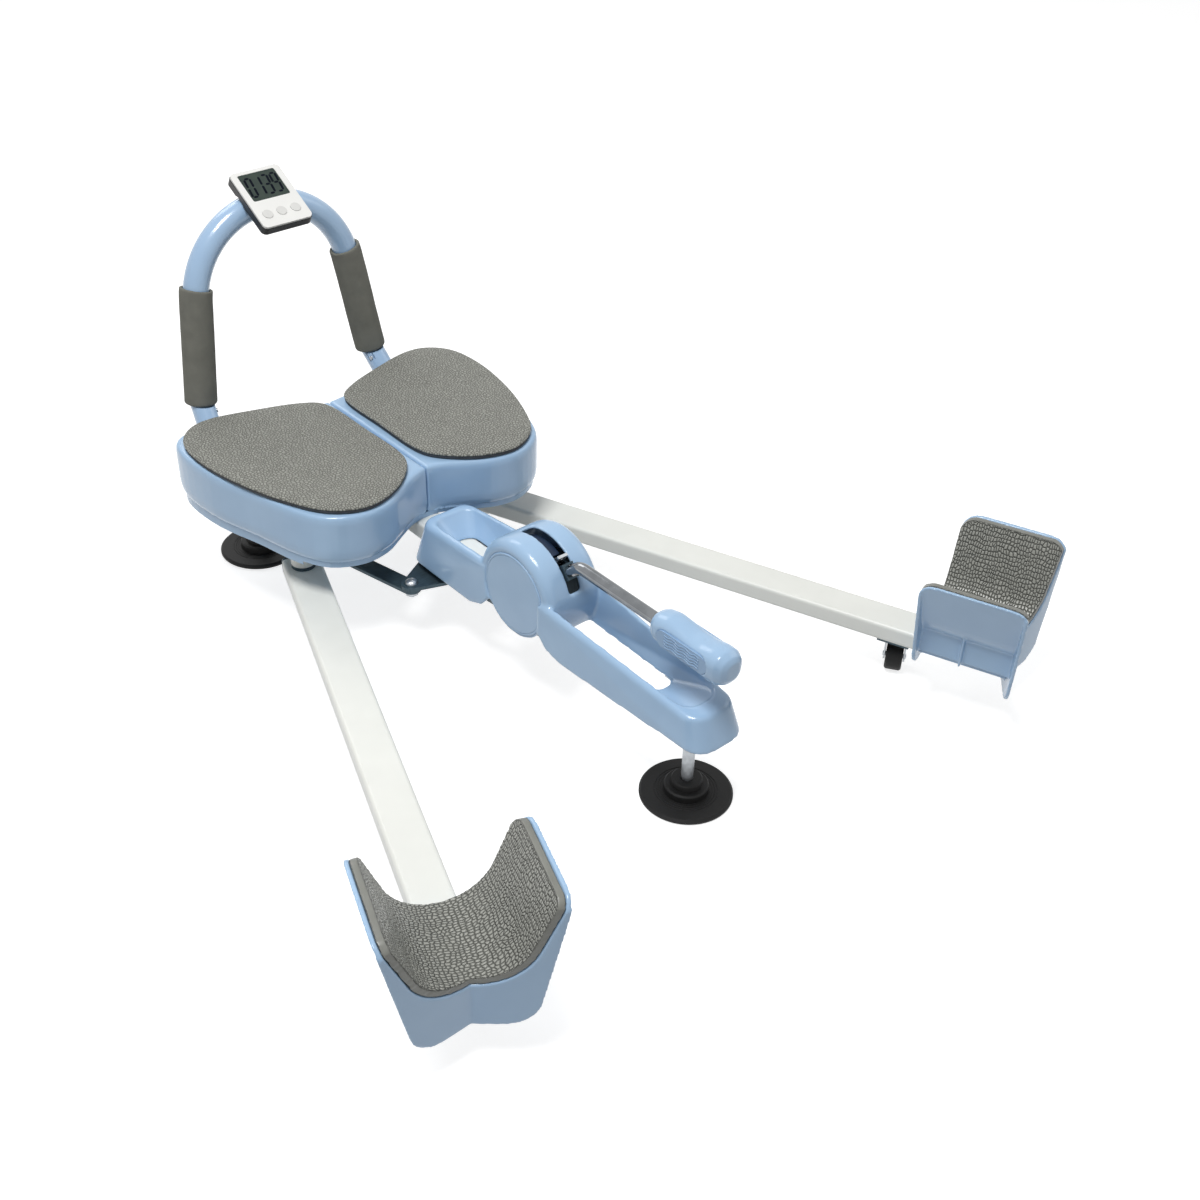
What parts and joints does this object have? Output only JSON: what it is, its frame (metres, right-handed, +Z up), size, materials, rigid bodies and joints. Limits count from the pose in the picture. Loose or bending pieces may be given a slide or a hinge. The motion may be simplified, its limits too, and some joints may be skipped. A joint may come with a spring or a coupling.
{
  "type": "leg stretching machine",
  "caption": "Seated leg stretching machine with a padded seat, swinging legs with calf cups, a ratchet lever, a geared spreading linkage, an arched handlebar and a small timer.",
  "frame": {"origin": "centre of the front foot's sole, on the floor", "axes": "+Z up, +Y from the front foot towards the seat and handlebar, +X towards the right leg"},
  "size_m": [0.831, 0.8675, 0.4008],
  "materials": {
    "white_paint": "gloss white powder coat on welded steel tube",
    "blue_plastic": "glossy pale blue moulded plastic",
    "deep_blue_plastic": "moulded plastic inlay, a shade deeper",
    "blue_paint": "gloss pale blue paint on steel tube",
    "dark_steel": "dark blue-grey paint on pressed steel",
    "gear_steel": "hobbed steel, lightly greased",
    "chrome": "bright chrome plate",
    "bronze": "sintered bronze bush",
    "rubber": "black moulded rubber",
    "leather": "grey grained leather over foam",
    "foam": "grey closed-cell foam sleeve",
    "black_plastic": "black moulded plastic",
    "white_plastic": "white moulded plastic",
    "wheel_rubber": "black wheel with a soft tread",
    "zinc": "zinc-plated steel"
  },
  "bodies": {
    "frame": {"main_rail": "white_paint", "pivot_beam": "white_paint", "rear_cross_tube": "white_paint", "plate_fixings": "zinc", "frame_plates": "dark_steel", "toe_block": "zinc", "guide_rod": "zinc", "pivot_bolts": "zinc", "axle_bushes": "bronze", "drive_housing": "blue_plastic", "hub_caps": "blue_plastic", "seat_tray": "blue_plastic", "seat_shell_left": "blue_plastic", "seat_shell_right": "blue_plastic", "seat_pad_left": "leather", "seat_pad_right": "leather", "handlebar": "blue_paint", "bar_elbows": "blue_paint", "snap_buttons": "chrome", "foam_grip_left": "foam", "foam_grip_right": "foam", "timer_bracket": "black_plastic", "timer_case": "black_plastic", "timer_face": "white_plastic"},
    "left_leg": {"leg_tube_left": "white_paint", "leg_fittings_left": "dark_steel", "cup_left": "blue_plastic", "cup_liner_left": "leather"},
    "right_leg": {"leg_tube_right": "white_paint", "leg_fittings_right": "dark_steel", "cup_right": "blue_plastic", "cup_liner_right": "leather"},
    "left_caster": {"caster_fork_left": "zinc"},
    "left_wheel": {"caster_wheel_left": "wheel_rubber"},
    "right_caster": {"caster_fork_right": "zinc"},
    "right_wheel": {"caster_wheel_right": "wheel_rubber"},
    "crosshead": {"crosshead": "dark_steel", "crosshead_bolts": "zinc"},
    "left_link": {"drag_link_left": "dark_steel", "drag_pin_left": "zinc"},
    "right_link": {"drag_link_right": "dark_steel", "drag_pin_right": "zinc"},
    "drive": {"hub_axle": "zinc", "drive_gears": "gear_steel", "ratchet_wheel": "gear_steel"},
    "lever": {"lever_head": "dark_steel", "slot_shield": "black_plastic", "lever_rod": "chrome", "lever_grip": "blue_plastic", "grip_inlay": "deep_blue_plastic"},
    "pawl": {"pawl": "zinc"},
    "timer_key_left": {"timer_button_left": "white_plastic"},
    "timer_key_middle": {"timer_button_middle": "white_plastic"},
    "timer_key_right": {"timer_button_right": "white_plastic"},
    "front_foot": {"front_foot_rod": "zinc", "front_foot_pad": "rubber"},
    "rear_left_foot": {"rear_foot_rod_left": "zinc", "rear_foot_pad_left": "rubber"},
    "rear_right_foot": {"rear_foot_rod_right": "zinc", "rear_foot_pad_right": "rubber"}
  },
  "joints": [
    {"name": "left_leg_swing", "type": "hinge", "parent": "frame", "child": "left_leg", "pos_m": [-0.123, 0.4634, 0.058], "axis": [0, 0, -1], "range_deg": [-8.7, 68.3]},
    {"name": "right_leg_swing", "type": "hinge", "parent": "frame", "child": "right_leg", "pos_m": [0.123, 0.4634, 0.058], "axis": [0, 0, 1], "range_deg": [-8.7, 68.3]},
    {"name": "crosshead_slide", "type": "slide", "parent": "frame", "child": "crosshead", "axis": [0, -1, 0], "range_m": [-0.00659, 0.05174]},
    {"name": "drive_gear_spin", "type": "hinge", "parent": "frame", "child": "drive", "pos_m": [0, 0.2192, 0.1248], "axis": [-1, 0, 0], "range_deg": [-8.88, 69.75]},
    {"name": "left_link_swing", "type": "hinge", "parent": "crosshead", "child": "left_link", "pos_m": [-0.057, 0.36, 0.0657], "axis": [0, 0, 1], "range_deg": [-0.0174, 0.1366]},
    {"name": "right_link_swing", "type": "hinge", "parent": "crosshead", "child": "right_link", "pos_m": [0.057, 0.36, 0.0657], "axis": [0, 0, -1], "range_deg": [-0.0174, 0.1366]},
    {"name": "lever_swing", "type": "hinge", "parent": "frame", "child": "lever", "pos_m": [0, 0.2192, 0.1248], "axis": [-1, 0, 0], "range_deg": [-6, 40]},
    {"name": "pawl_lift", "type": "hinge", "parent": "lever", "child": "pawl", "pos_m": [0, 0.19524, 0.1617], "axis": [1, 0, 0], "range_deg": [0, 8], "stiffness_Nm_per_rad": 0.05, "springref_deg": -5.73},
    {"name": "left_caster_swivel", "type": "hinge", "parent": "left_leg", "child": "left_caster", "pos_m": [-0.29938, -0.00339, 0.0445], "axis": [0, 0, 1], "continuous": true},
    {"name": "left_caster_roll", "type": "hinge", "parent": "left_caster", "child": "left_wheel", "pos_m": [-0.3052, 0.00051, 0.016], "axis": [0.5563, 0.831, 0], "continuous": true},
    {"name": "right_caster_swivel", "type": "hinge", "parent": "right_leg", "child": "right_caster", "pos_m": [0.29938, -0.00339, 0.0445], "axis": [0, 0, 1], "continuous": true},
    {"name": "right_caster_roll", "type": "hinge", "parent": "right_caster", "child": "right_wheel", "pos_m": [0.3052, 0.00051, 0.016], "axis": [-0.5563, 0.831, 0], "continuous": true},
    {"name": "front_foot_level", "type": "slide", "parent": "frame", "child": "front_foot", "axis": [0, 0, -1], "range_m": [0, 0.012]},
    {"name": "rear_left_foot_level", "type": "slide", "parent": "frame", "child": "rear_left_foot", "axis": [0, 0, -1], "range_m": [0, 0.012]},
    {"name": "rear_right_foot_level", "type": "slide", "parent": "frame", "child": "rear_right_foot", "axis": [0, 0, -1], "range_m": [0, 0.012]},
    {"name": "timer_left_press", "type": "slide", "parent": "frame", "child": "timer_key_left", "axis": [0, 0.4909, -0.8712], "range_m": [0, 0.0006], "stiffness_N_per_m": 300, "springref_m": -0.0008},
    {"name": "timer_middle_press", "type": "slide", "parent": "frame", "child": "timer_key_middle", "axis": [0, 0.4909, -0.8712], "range_m": [0, 0.0006], "stiffness_N_per_m": 300, "springref_m": -0.0008},
    {"name": "timer_right_press", "type": "slide", "parent": "frame", "child": "timer_key_right", "axis": [0, 0.4909, -0.8712], "range_m": [0, 0.0006], "stiffness_N_per_m": 300, "springref_m": -0.0008}
  ],
  "couplings": [
    {"joint": "right_leg_swing", "follows": "left_leg_swing", "ratio": 1},
    {"joint": "crosshead_slide", "follows": "left_leg_swing", "m_per_rad": 0.0434},
    {"joint": "drive_gear_spin", "follows": "left_leg_swing", "ratio": 1.0212},
    {"joint": "left_link_swing", "follows": "left_leg_swing", "ratio": 0.002},
    {"joint": "right_link_swing", "follows": "left_leg_swing", "ratio": 0.002}
  ]
}
